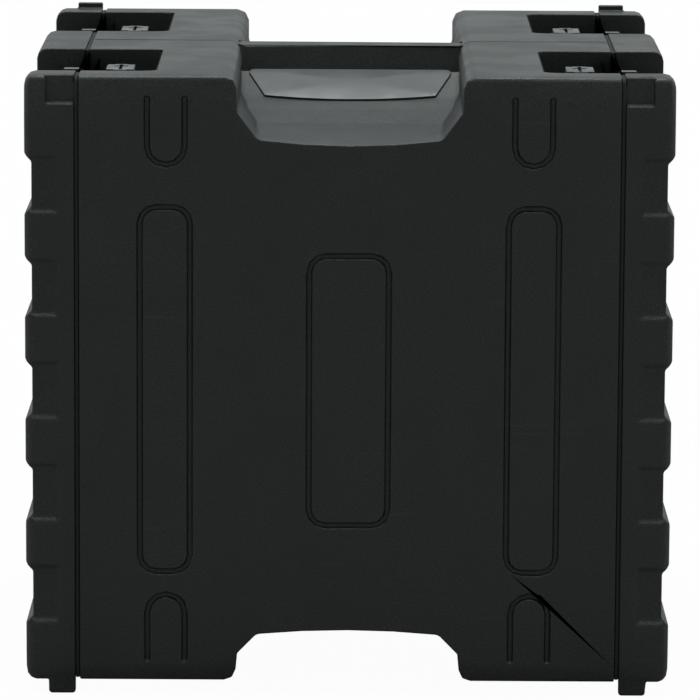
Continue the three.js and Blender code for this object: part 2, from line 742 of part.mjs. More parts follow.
/**
 * What turns in the housing, round the origin: shaft with its cam, carrier plate, end blocks
 * and the two wing pins.
 */
function latchRotor() {
  const end = WING.half + BLOCK.gap;
  const corner = end + BLOCK.depth;
  const carrier = prism(
    "z",
    rectangle(-WING.outer, WING.outer, -corner, corner, CARRIER_CORNER),
    CARRIER.low,
    CARRIER.high,
  );
  const shaft = prism("z", circle(0, 0, ROTOR_SHAFT, 12), SHAFT_FOOT, CARRIER.low + 1);
  const cam = prism("z", circle(-CAM.offset, 0, CAM.radius, 8), SHAFT_FOOT, SHAFT_FOOT + CAM.height);
  const blocks = [1, -1].map((side) => {
    const [from, to] = [side * end, side * corner].sort((a, b) => a - b);
    const top = WING_PIN_Z + WING.thickness / 2;
    return block([-BLOCK.half, BLOCK.half], [from, to], [CARRIER.high - 0.5, top]);
  });
  const pins = [1, -1].map((side) =>
    prism("y", circle(side * WING_PIN_X, WING_PIN_Z, WING_PIN, 6), -end - 1, end + 1),
  );
  return join(carrier, shaft, cam, ...blocks, ...pins);
}

/** A folding wing, lying outwards from its pin on one side of the rotor. */
function latchWing(side) {
  const radius = WING.thickness / 2;
  const nose = Array.from({ length: 5 }, (_, k) => {
    const angle = Math.PI / 2 + (k * Math.PI) / 4;
    return [WING_PIN_X + radius * Math.cos(angle), WING_PIN_Z + radius * Math.sin(angle)];
  });
  const outline = [
    ...nose,
    [WING.outer, WING_PIN_Z - radius, 1],
    [WING.outer, WING_PIN_Z + radius, 1],
  ].map(([x, z, r]) => [side * x, z, r]);
  const slot = block([0, WING_SLOT.reach], [WING_SLOT.low, WING_SLOT.high], [0, CHANNEL_DEPTH]);
  const hole = circle(side * WING_PIN_X, WING_PIN_Z, WING_PIN + PIN_CLEARANCE, 6);
  return prism("y", outline, -WING.half, WING.half)
    .subtract(prism("y", hole, -WING.half - 1, WING.half + 1))
    .subtract(side > 0 ? slot : slot.mirror([1, 0, 0]));
}

/** The draw hook, undone: it arches over the keeper with its lip just above it. */
function latchHook() {
  const { low, high } = HOOK_STRAP;
  const arch = HOOK_ARCH;
  const lip = KEEPER_OUTER + LIP_CLEARANCE;
  const sheet = high - low;
  const outline = [
    [HOOK_X, low],
    [MOUTH - 1, low],
    [LID_START + 1, arch.low],
    [lip, arch.low],
    [lip, KEEPER_SIZE.height + HOOK_LIFT],
    [lip + sheet, KEEPER_SIZE.height + HOOK_LIFT],
    [lip + sheet, arch.high, HOOK_BEND],
    [LID_START, arch.high, HOOK_BEND],
    [MOUTH - 2, high],
    [HOOK_X, high],
  ];
  const eye = prism(
    "y",
    circle(HOOK_X, HOOK_PIVOT.z, HOOK_PIN + EYE_WALL, 8),
    -HOOK_HALF,
    HOOK_HALF,
  );
  const hole = prism(
    "y",
    circle(HOOK_X, HOOK_PIVOT.z, HOOK_PIN + PIN_CLEARANCE, 8),
    -HOOK_HALF - 1,
    HOOK_HALF + 1,
  );
  return prism("y", outline, -HOOK_HALF, HOOK_HALF).add(eye).subtract(hole);
}

/** The catch on the lid that the hook pulls against. */
function latchKeeper() {
  const foot = GAP + PLATE.sheet;
  const outline = [
    [KEEPER_INNER - KEEPER_FOOT.inner, GAP],
    [KEEPER_OUTER + KEEPER_FOOT.outer, GAP],
    [KEEPER_OUTER + KEEPER_FOOT.outer, foot],
    [KEEPER_OUTER, foot],
    [KEEPER_OUTER, KEEPER_SIZE.height],
    [KEEPER_INNER + KEEPER_FOOT.slope, KEEPER_SIZE.height],
    [KEEPER_INNER, foot],
    [KEEPER_INNER - KEEPER_FOOT.inner, foot],
  ];
  return prism("y", outline, -KEEPER_SIZE.half, KEEPER_SIZE.half);
}

// ---- Materials ---------------------------------------------------------------------------
const finish = (color, roughness, metalness) =>
  new THREE.MeshStandardMaterial({ color, roughness, metalness });
const plastic = finish(0x26282b, 0.55, 0);
const grip = finish(0x2c2e31, 0.45, 0);
const seal = finish(0x0b0b0c, 0.9, 0);
const steel = finish(0x1a1b1d, 0.45, 0.6);
const latchSteel = finish(0x222428, 0.3, 0.8);

// ---- The case ----------------------------------------------------------------------------
const rackCase = new THREE.Group();
rackCase.position.z = FOOT + HALF_H;

rackCase.add(meshOf("case_shell", caseShell(), plastic));

const ENDS = [
  { name: "front", sign: 1 },
  { name: "rear", sign: -1 },
];
const FACES = [
  { name: "top", sign: 1 },
  { name: "bottom", sign: -1 },
];
const SIDES = [
  { name: "left", sign: 1 },
  { name: "right", sign: -1 },
];

for (const end of ENDS) {
  const turned = new THREE.Group();
  turned.rotation.z = end.sign > 0 ? 0 : Math.PI;
  turned.add(meshOf(`${end.name}_lid`, lid(-end.sign), plastic));
  turned.add(meshOf(`${end.name}_gasket`, gasket(), seal));
  rackCase.add(turned);
}

for (const end of ENDS) {
  for (const side of SIDES) {
    const alike = end.sign === side.sign;
    const rail = meshOf(
      `${end.name}_${side.name}_rack_rail`,
      alike ? rackRail() : rackRail().mirror([1, 0, 0]),
      steel,
    );
    rail.rotation.z = side.sign > 0 ? 0 : Math.PI;
    rackCase.add(rail);
  }
}

for (const side of SIDES) {
  const tread = meshOf(`${side.name}_handle_grip`, handleTread(), grip);
  tread.rotation.z = side.sign < 0 ? 0 : Math.PI;
  rackCase.add(tread);
}

for (const face of FACES) {
  for (const end of ENDS) {
    for (const side of SIDES) {
      const label = `${face.name}_${end.name}_${side.name}`;
      const latch = new THREE.Group();
      latch.position.set(0, side.sign * CHANNEL_Y, face.sign * CHANNEL_FLOOR);
      if (face.sign > 0) latch.rotation.z = end.sign > 0 ? 0 : Math.PI;
      else if (end.sign > 0) latch.rotation.x = Math.PI;
      else latch.rotation.y = Math.PI;
      const turning = new THREE.Group();
      turning.position.x = ROTOR_X;
      turning.rotation.z = end.sign > 0 ? 0 : Math.PI;
      turning.add(meshOf(`${label}_latch_rotor`, latchRotor(), latchSteel));
      turning.add(meshOf(`${label}_inner_wing`, latchWing(-end.sign), latchSteel));
      turning.add(meshOf(`${label}_outer_wing`, latchWing(end.sign), latchSteel));
      latch.add(turning);
      latch.add(meshOf(`${label}_latch_plate`, latchPlate(), latchSteel));
      latch.add(meshOf(`${label}_latch_hook`, latchHook(), latchSteel));
      latch.add(meshOf(`${label}_latch_keeper`, latchKeeper(), latchSteel));
      rackCase.add(latch);
    }
  }
}

export default rackCase;
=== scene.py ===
import math

import bmesh
import bpy
import numpy as np
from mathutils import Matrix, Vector


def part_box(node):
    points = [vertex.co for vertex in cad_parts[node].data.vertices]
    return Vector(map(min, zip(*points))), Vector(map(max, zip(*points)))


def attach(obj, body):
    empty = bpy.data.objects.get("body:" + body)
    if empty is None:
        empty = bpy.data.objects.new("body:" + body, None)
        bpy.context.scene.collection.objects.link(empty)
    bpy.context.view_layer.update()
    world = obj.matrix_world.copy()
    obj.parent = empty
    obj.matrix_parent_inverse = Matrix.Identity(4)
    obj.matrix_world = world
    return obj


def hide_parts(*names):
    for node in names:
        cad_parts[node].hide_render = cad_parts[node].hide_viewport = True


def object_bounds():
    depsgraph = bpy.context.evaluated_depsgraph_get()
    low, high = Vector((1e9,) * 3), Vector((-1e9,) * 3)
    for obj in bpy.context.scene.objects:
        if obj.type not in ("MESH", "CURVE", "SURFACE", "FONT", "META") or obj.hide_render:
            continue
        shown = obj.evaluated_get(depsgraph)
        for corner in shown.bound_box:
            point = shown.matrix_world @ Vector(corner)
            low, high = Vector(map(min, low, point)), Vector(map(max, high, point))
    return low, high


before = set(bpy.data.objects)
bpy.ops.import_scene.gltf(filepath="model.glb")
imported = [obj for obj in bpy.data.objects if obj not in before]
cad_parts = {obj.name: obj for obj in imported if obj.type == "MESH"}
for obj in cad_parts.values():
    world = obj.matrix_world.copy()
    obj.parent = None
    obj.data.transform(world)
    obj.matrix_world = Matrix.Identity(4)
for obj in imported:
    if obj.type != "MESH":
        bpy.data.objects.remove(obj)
CAD_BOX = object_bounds()

bl_info = {
    "name": "Rack case looks",
    "version": (1, 0, 0),
    "blender": (4, 5, 0),
    "location": "View3D > Sidebar > Rack Case",
    "description": "Rounded, grained and worn pieces for a moulded equipment rack case",
    "category": "Object",
}

MM = 0.001
LIGHT_COLOUR = (0.93, 1.0, 0.995)
ENDS = {"front": 1, "rear": -1}
SIDES = {"left": 1, "right": -1}
FACES = {"top": 1, "bottom": -1}
LATCHES = [f"{face}_{end}_{side}" for face in FACES for end in ENDS for side in SIDES]
LATCH_PARTS = {
    "latch_plate": "case",
    "latch_rotor": "rotor",
    "inner_wing": "inner_wing",
    "outer_wing": "outer_wing",
    "latch_hook": "hook",
    "latch_keeper": "lid",
}


# ---- Settings ----------------------------------------------------------------------------
class RackCaseSizes(bpy.types.PropertyGroup):
    """Sizes that the visible pieces add to the model."""

    shell_rounding: bpy.props.FloatProperty(
        name="Moulded edge rounding",
        description="Radius on the sleeve's and lids' edges",
        default=1.8 * MM,
        unit="LENGTH",
    )
    steel_rounding: bpy.props.FloatProperty(
        name="Steel edge rounding",
        description="Radius on the edges of pressed and folded steel",
        default=0.35 * MM,
        unit="LENGTH",
    )
    tread_crown: bpy.props.FloatProperty(
        name="Tread crown",
        description="How far the handle grip's middle stands above its rim",
        default=1.4 * MM,
        unit="LENGTH",
    )
    rivet_radius: bpy.props.FloatProperty(
        name="Rivet radius",
        description="Radius of the domed rivet heads on the latches",
        default=2.1 * MM,
        unit="LENGTH",
    )
    parting_bead: bpy.props.FloatProperty(
        name="Parting line",
        description="Height of the line that the mould's halves leave on top",
        default=0.45 * MM,
        unit="LENGTH",
    )
    screw_radius: bpy.props.FloatProperty(
        name="Rail screw radius",
        description="Radius of the pan heads that hold the rack rails",
        default=5 * MM,
        unit="LENGTH",
    )


class RackCaseFinishes(bpy.types.PropertyGroup):
    """Colours and wear of the finishes."""

    plastic_colour: bpy.props.FloatVectorProperty(
        name="Moulded plastic",
        description="Colour of the polyethylene",
        default=(0.0092, 0.0103, 0.0105),
        subtype="COLOR",
        min=0,
        max=1,
    )
    scuffed_colour: bpy.props.FloatVectorProperty(
        name="Scuffed plastic",
        description="Colour where edges have rubbed",
        default=(0.07, 0.072, 0.076),
        subtype="COLOR",
        min=0,
        max=1,
    )
    dust_colour: bpy.props.FloatVectorProperty(
        name="Dust",
        description="Colour of the dust on faces that look up",
        default=(0.16, 0.158, 0.15),
        subtype="COLOR",
        min=0,
        max=1,
    )
    grip_colour: bpy.props.FloatVectorProperty(
        name="Handle grip",
        description="Colour of the satin grips",
        default=(0.03, 0.031, 0.033),
        subtype="COLOR",
        min=0,
        max=1,
    )
    steel_colour: bpy.props.FloatVectorProperty(
        name="Latch steel",
        description="Colour of the latches' black coating",
        default=(0.035, 0.036, 0.039),
        subtype="COLOR",
        min=0,
        max=1,
    )
    grain_size: bpy.props.FloatProperty(
        name="Grain size",
        description="Distance between two bumps of the mould's grain",
        default=1.3 * MM,
        unit="LENGTH",
    )
    edge_wear: bpy.props.FloatProperty(
        name="Edge wear",
        description="Share of the rubbed edges that shows",
        default=0.45,
        subtype="FACTOR",
        min=0,
        max=1,
    )


class RackCaseStage(bpy.types.PropertyGroup):
    """Camera and light."""

    focal_length: bpy.props.FloatProperty(
        name="Focal length", description="Of the lens, in millimetres", default=275.95
    )
    distance: bpy.props.FloatProperty(
        name="Distance",
        description="From the camera to the side that faces it",
        default=5.145,
        unit="LENGTH",
    )
    tilt: bpy.props.FloatProperty(
        name="Tilt",
        description="How far the camera looks down",
        default=math.radians(9.685),
        unit="ROTATION",
    )
    roll: bpy.props.FloatProperty(
        name="Roll", description="Turn round the line of sight", default=math.radians(0.31),
        unit="ROTATION",
    )
    aim_height: bpy.props.FloatProperty(
        name="Aim height",
        description="Above the middle of the moulded body",
        default=31.5 * MM,
        unit="LENGTH",
    )
    overhead: bpy.props.FloatProperty(
        name="Overhead light", description="Light on a level face", default=2.3
    )
    surround_front: bpy.props.FloatProperty(
        name="Surround, front", description="Brightness on the camera's side", default=0.34
    )
    surround_back: bpy.props.FloatProperty(
        name="Surround, back", description="Brightness behind the case", default=0.74
    )


# ---- Meshes ------------------------------------------------------------------------------
def link(name, mesh, body, materials):
    """Put a finished mesh into the scene, riding on a CAD body."""
    piece = bpy.data.objects.new(name, mesh)
    bpy.context.scene.collection.objects.link(piece)
    for material in materials:
        mesh.materials.append(material)
    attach(piece, body)
    return piece


def rounded_copy(node, name, body, material, radius, segments=2, limit=32):
    """A merged copy of a CAD node with its flat faces joined and its edges rounded."""
    mesh = bpy.data.meshes.new(name)
    shape = bmesh.new()
    shape.from_mesh(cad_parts[node].data)
    bmesh.ops.remove_doubles(shape, verts=shape.verts, dist=0.02 * MM)
    bmesh.ops.dissolve_limit(
        shape, angle_limit=math.radians(0.5), verts=shape.verts, edges=shape.edges
    )
    shape.to_mesh(mesh)
    shape.free()
    for layer in ("custom_normal", "sharp_face", "sharp_edge"):
        if layer in mesh.attributes:
            mesh.attributes.remove(mesh.attributes[layer])
    mesh.materials.clear()
    mesh.shade_smooth()
    piece = link(name, mesh, body, [material])
    bevel = piece.modifiers.new("Rounded edges", "BEVEL")
    bevel.width = radius
    bevel.segments = segments
    bevel.limit_method = "ANGLE"
    bevel.angle_limit = math.radians(limit)
    bevel.use_clamp_overlap = False
    bevel.harden_normals = True
    bevel.miter_outer = "MITER_ARC"
    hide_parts(node)
    return piece


def grid_faces(rings, points):
    """Quads between rings of points, each ring joined to the next and closed on itself."""
    ring, point = np.meshgrid(np.arange(rings - 1), np.arange(points), indexing="ij")
    after = (point + 1) % points
    corners = [
        ring * points + point,
        ring * points + after,
        (ring + 1) * points + after,
        (ring + 1) * points + point,
    ]
    return np.stack(corners, axis=-1).reshape(-1, 4)


def build_mesh(name, vertices, quads, caps=()):
    """A mesh from arrays: vertices, quads, and triangles fanned round each cap's pole."""
    triangles = [np.asarray(cap).reshape(-1, 3) for cap in caps]
    faces = [quad.tolist() for quad in quads]
    for fan in triangles:
        faces += fan.tolist()
    mesh = bpy.data.meshes.new(name)
    mesh.from_pydata(np.asarray(vertices).reshape(-1, 3), [], faces)
    mesh.validate()
    mesh.shade_smooth()
    return mesh


def plate_surface(outline, profile):
    """
    A closed plate. Each ring is the outline shrunk towards its middle by the profile's share
    and lifted by its height; the first and last rings close on a pole at the same height.
    Returns vertices (ring by ring, then the two poles), quads and the two fans.
    """
    outline = np.asarray(outline, float)
    profile = np.asarray(profile, float)
    centre = outline.mean(axis=0)
    flat = centre + profile[:, None, :1] * (outline - centre)[None]
    heights = np.broadcast_to(profile[:, None, 1:2], flat.shape[:2] + (1,))
    rings, points = len(profile), len(outline)
    vertices = np.concatenate([flat, heights], axis=-1).reshape(-1, 3)
    poles = np.array([[*centre, profile[0, 1]], [*centre, profile[-1, 1]]])
    first = np.arange(points)
    second = (first + 1) % points
    base, top = rings * points, rings * points + 1
    last = (rings - 1) * points
    caps = [
        np.stack([second, first, np.full(points, base)], axis=1),
        np.stack([last + first, last + second, np.full(points, top)], axis=1),
    ]
    return np.vstack([vertices, poles]), grid_faces(rings, points), caps


def circle_outline(radius, count):
    """Points evenly round a circle: (r cos t, r sin t)."""
    turn = np.linspace(0, 2 * np.pi, count, endpoint=False)
    return np.stack([radius * np.cos(turn), radius * np.sin(turn)], axis=1)


def placed(vertices, origin, across, up):
    """Carry flat-drawn vertices to a place: x along across, z along up, y across both."""
    across, up = np.asarray(across, float), np.asarray(up, float)
    beside = np.cross(up, across)
    return np.asarray(origin) + vertices @ np.stack([across, beside, up])


def joined_mesh(name, parts):
    """One mesh from several plate surfaces, each (vertices, quads, caps)."""
    vertices, quads, caps, start = [], [], [], 0
    for points, faces, fans in parts:
        vertices.append(points)
        quads.append(faces + start)
        caps += [fan + start for fan in fans]
        start += len(points)
    return build_mesh(name, np.vstack(vertices), np.vstack(quads), caps)


# ---- Shader groups -----------------------------------------------------------------------
def add(tree, kind, settings=None, **inputs):
    """A node with its settings, and its inputs set or linked by name."""
    node = tree.nodes.new(kind)
    for key, value in (settings or {}).items():
        setattr(node, key, value)
    for key, value in inputs.items():
        plug = node.inputs[int(key[1:])] if key[0] == "_" else node.inputs[key.replace("__", " ")]
        if isinstance(value, bpy.types.NodeSocket):
            tree.links.new(value, plug)
        else:
            plug.default_value = value
    return node


def math_node(tree, operation, a, b=0.0, clamp=False):
    return add(
        tree, "ShaderNodeMath", {"operation": operation, "use_clamp": clamp}, _0=a, _1=b
    ).outputs[0]


def spread(tree, value, low, high, to_low=0.0, to_high=1.0):
    """Map a range of a value onto another, with a smooth step."""
    return add(
        tree,
        "ShaderNodeMapRange",
        {"interpolation_type": "SMOOTHSTEP"},
        _0=value,
        _1=low,
        _2=high,
        _3=to_low,
        _4=to_high,
    ).outputs[0]


def noise(tree, place, scale, detail=3.0, roughness=0.5):
    return add(
        tree, "ShaderNodeTexNoise", Vector=place, Scale=scale, Detail=detail, Roughness=roughness
    ).outputs["Fac"]


def group(name, inputs, outputs, build):
    """A shader group: sockets by name with their defaults, and a function that fills it."""
    tree = bpy.data.node_groups.new(name, "ShaderNodeTree")
    for label, default in inputs.items():
        kind = "NodeSocketFloat" if default is not None else "NodeSocketVector"
        socket = tree.interface.new_socket(name=label, in_out="INPUT", socket_type=kind)
        if default is not None:
            socket.default_value = default
    for label in outputs:
        tree.interface.new_socket(name=label, in_out="OUTPUT", socket_type="NodeSocketFloat")
    entry = tree.nodes.new("NodeGroupInput")
    leave = tree.nodes.new("NodeGroupOutput")
    results = build(tree, {socket.name: socket for socket in entry.outputs if socket.name})
    for label, result in results.items():
        tree.links.new(result, leave.inputs[label])
    return tree


def fill_grain(tree, sockets):
    """Pebbled grain of the mould, its speckled tone, and a slow unevenness of the colour."""
    place, size = sockets["Place"], sockets["Size"]
    rate = math_node(tree, "DIVIDE", 1.0, size)
    cells = add(
        tree, "ShaderNodeTexVoronoi", {"feature": "SMOOTH_F1"}, Vector=place, Scale=rate
    ).outputs["Distance"]
    fine = noise(tree, place, math_node(tree, "MULTIPLY", rate, 2.3), 2.0)
    slow = noise(tree, place, math_node(tree, "MULTIPLY", rate, 0.022), 3.0)
    pebbles = math_node(tree, "SUBTRACT", 1.0, cells)
    height = math_node(tree, "ADD", pebbles, math_node(tree, "MULTIPLY", fine, 0.5))
    speckle = noise(tree, place, math_node(tree, "MULTIPLY", rate, 0.85), 2.0, 0.6)
    return {
        "Height": height,
        "Mottle": spread(tree, slow, 0.3, 0.7),
        "Speckle": spread(tree, speckle, 0.3, 0.7),
    }


def fill_edge_wear(tree, sockets):
    """Rubbed edges: where the rounded-off normal leaves the true one, broken by noise."""
    soft = add(tree, "ShaderNodeBevel", {"samples": 4}, Radius=sockets["Reach"]).outputs[0]
    true = tree.nodes.new("ShaderNodeNewGeometry").outputs["Normal"]
    facing = add(tree, "ShaderNodeVectorMath", {"operation": "DOT_PRODUCT"}, _0=soft, _1=true)
    edge = spread(tree, facing.outputs["Value"], 0.995, 0.8)
    patchy = spread(tree, noise(tree, sockets["Place"], 42.0, 5.0, 0.62), 0.42, 0.66)
    rubbed = math_node(tree, "MULTIPLY", edge, patchy)
    return {"Mask": math_node(tree, "MULTIPLY", rubbed, sockets["Amount"], True)}


def fill_scuffs(tree, sockets):
    """Long fine rubs: noise drawn out along X, and a second one along a slant."""
    masks = []
    for turn, stretch in ((0.15, (6.0, 240.0, 240.0)), (1.2, (300.0, 9.0, 200.0))):
        drawn = add(
            tree,
            "ShaderNodeMapping",
            Vector=sockets["Place"],
            Rotation=(turn, turn * 0.4, turn),
            Scale=stretch,
        ).outputs[0]
        lines = spread(tree, noise(tree, drawn, 1.0, 2.0), 0.66, 0.74)
        patch = spread(tree, noise(tree, sockets["Place"], 7.0 + 3 * turn, 2.0), 0.5, 0.7)
        masks.append(math_node(tree, "MULTIPLY", lines, patch))
    both = math_node(tree, "MAXIMUM", *masks)
    return {"Mask": math_node(tree, "MULTIPLY", both, sockets["Amount"], True)}


def fill_dust(tree, sockets):
    """Dust on faces that look up: the normal's Z, broken by two scales of noise."""
    normal = tree.nodes.new("ShaderNodeNewGeometry").outputs["Normal"]
    up = add(tree, "ShaderNodeSeparateXYZ", Vector=normal).outputs["Z"]
    level = spread(tree, up, 0.5, 0.98)
    cloud = spread(tree, noise(tree, sockets["Place"], 9.0, 6.0, 0.62), 0.35, 0.72)
    specks = spread(tree, noise(tree, sockets["Place"], 700.0, 1.0), 0.62, 0.75)
    film = math_node(tree, "ADD", cloud, math_node(tree, "MULTIPLY", specks, 0.6))
    settled = math_node(tree, "MULTIPLY", level, film)
    return {"Mask": math_node(tree, "MULTIPLY", settled, sockets["Amount"], True)}


GROUPS = {
    "moulded_grain": ({"Place": None, "Size": 1.3 * MM}, ["Height", "Mottle", "Speckle"], fill_grain),
    "edge_wear": ({"Place": None, "Reach": 2 * MM, "Amount": 0.4}, ["Mask"], fill_edge_wear),
    "handling_scuffs": ({"Place": None, "Amount": 0.3}, ["Mask"], fill_scuffs),
    "settled_dust": ({"Place": None, "Amount": 0.2}, ["Mask"], fill_dust),
}


def effect(tree, name, place, **inputs):
    """Place a shared group in a material, making the group the first time."""
    shared = bpy.data.node_groups.get(name) or group(name, *GROUPS[name])
    return add(tree, "ShaderNodeGroup", {"node_tree": shared}, Place=place, **inputs)


def blended(tree, factor, first, second):
    """The first colour turned into the second by a mask."""
    mix = tree.nodes.new("ShaderNodeMix")
    mix.data_type = "RGBA"
    for plug, value in ((mix.inputs[0], factor), (mix.inputs[6], first), (mix.inputs[7], second)):
        if isinstance(value, bpy.types.NodeSocket):
            tree.links.new(value, plug)
        else:
            plug.default_value = value if np.isscalar(value) else (*value[:3], 1.0)
    return mix.outputs[2]


def new_material(name):
    material = bpy.data.materials.new(name)
    material.use_nodes = True
    tree = material.node_tree
    place = tree.nodes.new("ShaderNodeTexCoord").outputs["Object"]
    return material, tree, tree.nodes["Principled BSDF"], place


def bumped(tree, shader, height, strength, distance):
    bump = add(tree, "ShaderNodeBump", Height=height, Strength=strength, Distance=distance)
    tree.links.new(bump.outputs[0], shader.inputs["Normal"])


# ---- Finishes ----------------------------------------------------------------------------
def moulded_plastic(finishes):
    """Black polyethylene with the mould's grain, rubbed edges, scuffs and a little dust."""
    material, tree, shader, place = new_material("moulded_plastic")
    grain = effect(tree, "moulded_grain", place, Size=finishes.grain_size)
    wear = effect(tree, "edge_wear", place, Reach=2.5 * MM, Amount=finishes.edge_wear)
    scuffs = effect(tree, "handling_scuffs", place, Amount=0.22)
    dust = effect(tree, "settled_dust", place, Amount=0.16)
    base = Vector(finishes.plastic_colour)
    dark = blended(tree, grain.outputs["Mottle"], base * 0.3, base * 0.5)
    pale = blended(tree, grain.outputs["Mottle"], base * 1.9, base * 2.5)
    colour = blended(tree, grain.outputs["Speckle"], dark, pale)
    rubbed = math_node(tree, "MAXIMUM", wear.outputs[0], scuffs.outputs[0])
    colour = blended(tree, rubbed, colour, finishes.scuffed_colour)
    colour = blended(tree, dust.outputs[0], colour, finishes.dust_colour)
    tree.links.new(colour, shader.inputs["Base Color"])
    rough = spread(tree, grain.outputs["Mottle"], 0.0, 1.0, 0.42, 0.52)
    rough = math_node(tree, "ADD", rough, math_node(tree, "MULTIPLY", dust.outputs[0], 0.4), True)
    tree.links.new(rough, shader.inputs["Roughness"])
    shader.inputs["IOR"].default_value = 1.5
    bumped(tree, shader, grain.outputs["Height"], 0.8, 0.3 * MM)
    return material


def satin_grip(finishes):
    """Smooth hard-wearing grip: finer grain, polished by hands, with a few rubs."""
    material, tree, shader, place = new_material("satin_grip")
    grain = effect(tree, "moulded_grain", place, Size=0.6 * MM)
    wear = effect(tree, "edge_wear", place, Reach=1.5 * MM, Amount=0.5)
    scuffs = effect(tree, "handling_scuffs", place, Amount=0.3)
    rubbed = math_node(tree, "MAXIMUM", wear.outputs[0], scuffs.outputs[0])
    base = Vector(finishes.grip_colour)
    colour = blended(tree, grain.outputs["Mottle"], base * 0.9, base * 1.12)
    colour = blended(tree, rubbed, colour, finishes.scuffed_colour)
    tree.links.new(colour, shader.inputs["Base Color"])
    rough = spread(tree, grain.outputs["Mottle"], 0.0, 1.0, 0.3, 0.4)
    tree.links.new(rough, shader.inputs["Roughness"])
    bumped(tree, shader, grain.outputs["Height"], 0.2, 0.04 * MM)
    return material


def seal_rubber():
    """Dull foamed rubber with open pores."""
    material, tree, shader, place = new_material("seal_rubber")
    pores = add(tree, "ShaderNodeTexVoronoi", Vector=place, Scale=1100.0).outputs["Distance"]
    tone = spread(tree, pores, 0.1, 0.6)
    colour = blended(tree, tone, (0.004, 0.004, 0.004), (0.012, 0.012, 0.013))
    tree.links.new(colour, shader.inputs["Base Color"])
    tree.links.new(spread(tree, tone, 0.0, 1.0, 0.95, 0.8), shader.inputs["Roughness"])
    bumped(tree, shader, pores, 0.5, 0.2 * MM)
    return material


def coated_steel(name, colour, metallic, roughness, peel, worn=0.35):
    """Black coating over steel: an orange-peel skin, with bright metal where edges rub."""
    material, tree, shader, place = new_material(name)
    grain = effect(tree, "moulded_grain", place, Size=peel)
    wear = effect(tree, "edge_wear", place, Reach=0.6 * MM, Amount=worn)
    scuffs = effect(tree, "handling_scuffs", place, Amount=0.35)
    dust = effect(tree, "settled_dust", place, Amount=0.1)
    base = Vector(colour)
    tone = blended(tree, grain.outputs["Mottle"], base * 0.85, base * 1.2)
    tone = blended(tree, scuffs.outputs[0], tone, (0.09, 0.09, 0.095))
    tone = blended(tree, wear.outputs[0], tone, (0.3, 0.3, 0.31))
    tone = blended(tree, dust.outputs[0], tone, (0.16, 0.158, 0.15))
    tree.links.new(tone, shader.inputs["Base Color"])
    metal = spread(tree, wear.outputs[0], 0.2, 0.6, metallic, 1.0)
    tree.links.new(metal, shader.inputs["Metallic"])
    rough = spread(tree, grain.outputs["Mottle"], 0.0, 1.0, roughness - 0.05, roughness + 0.07)
    tree.links.new(rough, shader.inputs["Roughness"])
    bumped(tree, shader, grain.outputs["Height"], 0.25, 0.05 * MM)
    return material


FINISH_MAKERS = {
    "moulded_plastic": lambda finishes: moulded_plastic(finishes),
    "satin_grip": lambda finishes: satin_grip(finishes),
    "seal_rubber": lambda finishes: seal_rubber(),
    "rail_paint": lambda finishes: coated_steel(
        "rail_paint", (0.018, 0.018, 0.02), 0.0, 0.45, 0.5 * MM, 0.25
    ),
    "latch_coating": lambda finishes: coated_steel(
        "latch_coating", finishes.steel_colour, 0.35, 0.3, 0.8 * MM
    ),
    "rivet_steel": lambda finishes: coated_steel(
        "rivet_steel", (0.09, 0.09, 0.095), 0.7, 0.32, 0.4 * MM, 0.5
    ),
}


def finish(name):
    """A named finish, made the first time it's asked for."""
    made = bpy.data.materials.get(name)
    return made or FINISH_MAKERS[name](bpy.context.scene.rack_case_finishes)


# ---- Pieces ------------------------------------------------------------------------------
class RACKCASE_OT_mouldings(bpy.types.Operator):
    """Build the moulded sleeve and its two lids, with their edges rounded."""

    bl_idname = "rack_case.mouldings"
    bl_label = "Sleeve and lids"

    def execute(self, context):
        sizes = context.scene.rack_case_sizes
        plastic = finish("moulded_plastic")
        for node, body in (
            ("case_shell", "case"),
            ("front_lid", "front_lid"),
            ("rear_lid", "rear_lid"),
        ):
            rounded_copy(
                node, f"moulded_{node}", body, plastic, sizes.shell_rounding, 3
            )
        return {"FINISHED"}


def tread_outline(half, front_half, length, flare, radius, bow):
    """
    The grip's outline in its own plane: x across, y back along the slope. The front edge
    bows as bow * (x / front_half)^2; each end runs out straight to its full width at the
    flare, and each back corner is a quarter circle.
    """
    across = np.linspace(-front_half, front_half, 29)
    front = np.stack([across, bow * (across / front_half) ** 2], axis=1)
    share = np.linspace(0, 1, 7)[1:, None]
    right_side = np.array([front_half, bow]) * (1 - share) + np.array([half, flare]) * share
    left_side = right_side[::-1] * [-1, 1]
    turn = np.linspace(0, np.pi / 2, 6)
    arc_x, arc_y = half - radius, length - radius
    right = np.stack([arc_x + radius * np.cos(turn), arc_y + radius * np.sin(turn)], axis=1)
    left = right[::-1] * [-1, 1]
    back = np.linspace(arc_x, -arc_x, 28)[1:-1]
    back = np.stack([back, np.full(26, length)], axis=1)
    return np.vstack([front, right_side, right, back, left, left_side])


